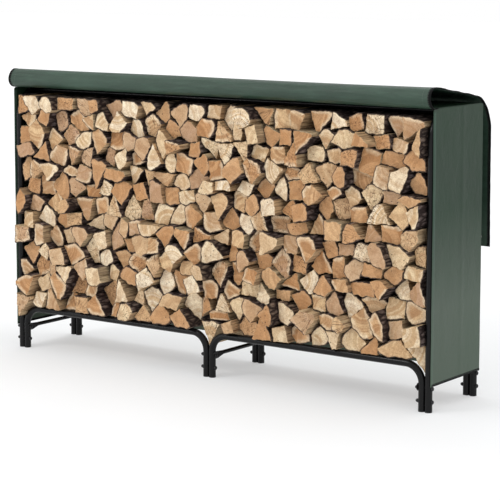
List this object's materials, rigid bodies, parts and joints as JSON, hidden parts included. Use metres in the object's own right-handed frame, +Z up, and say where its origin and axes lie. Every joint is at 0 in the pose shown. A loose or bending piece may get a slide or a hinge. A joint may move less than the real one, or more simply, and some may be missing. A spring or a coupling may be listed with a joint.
{
  "type": "firewood log rack",
  "caption": "Long free-standing firewood rack of bent steel tube with a green fabric cover, its front curtain thrown back over the top, filled with split logs.",
  "frame": {"origin": "on the floor, below the centre of the whole object's box", "axes": "+X along the rack to the right end, -Y to the open front, +Z up"},
  "size_m": [2.0687, 0.485, 1.1972],
  "materials": {
    "frame_paint": "satin black powder coat",
    "black_fasteners": "black oxide",
    "cap_plastic": "matte",
    "cover_fabric": "coated polyester weave, low sheen",
    "binding_tape": "woven tape",
    "eyelet_metal": "plated",
    "split_wood": "raw split hardwood with bark"
  },
  "bodies": {
    "rack": {"base_rail_front_left": "frame_paint", "base_rail_front_right": "frame_paint", "base_rail_rear_left": "frame_paint", "base_rail_rear_right": "frame_paint", "end_frame_left": "frame_paint", "end_frame_right": "frame_paint", "leg_caps_front": "cap_plastic", "leg_caps_rear": "cap_plastic", "crossbar_left": "frame_paint", "crossbar_middle": "frame_paint", "crossbar_right": "frame_paint", "leg_bolts": "black_fasteners", "leg_washers": "black_fasteners", "leg_cap_nuts": "black_fasteners", "top_rail_front_left": "frame_paint", "top_rail_front_right": "frame_paint", "top_rail_rear_left": "frame_paint", "top_rail_rear_right": "frame_paint", "top_rail_sleeves": "frame_paint", "rail_spigots_left": "frame_paint", "rail_spigots_right": "frame_paint", "top_rail_screws": "black_fasteners"},
    "cover": {"cover_side_left": "cover_fabric", "cover_side_right": "cover_fabric", "cover_top": "cover_fabric", "cover_back": "cover_fabric", "curtain": "cover_fabric", "curtain_binding_left": "binding_tape", "curtain_binding_right": "binding_tape"},
    "flap": {"curtain_flap": "cover_fabric", "flap_binding_left": "binding_tape", "flap_binding_right": "binding_tape", "flap_eyelets": "eyelet_metal"},
    "firewood": {"firewood_row_01": "split_wood", "firewood_row_02": "split_wood", "firewood_row_03": "split_wood", "firewood_row_04": "split_wood", "firewood_row_05": "split_wood", "firewood_row_06": "split_wood", "firewood_row_07": "split_wood", "firewood_row_08": "split_wood", "firewood_row_09": "split_wood", "firewood_row_10": "split_wood", "firewood_row_11": "split_wood", "firewood_row_12": "split_wood", "firewood_row_13": "split_wood", "firewood_row_14": "split_wood"}
  },
  "joints": [
    {"name": "cover_lift", "type": "slide", "parent": "rack", "child": "cover", "axis": [0, 0, 1], "range_m": [0, 1.1]},
    {"name": "flap_fold", "type": "hinge", "parent": "cover", "child": "flap", "pos_m": [0, 0.20781, 1.10464], "axis": [1, 0, 0], "range_deg": [0, 90]},
    {"name": "firewood_unload", "type": "slide", "parent": "rack", "child": "firewood", "axis": [0, -1, 0], "range_m": [0, 0.5]}
  ]
}
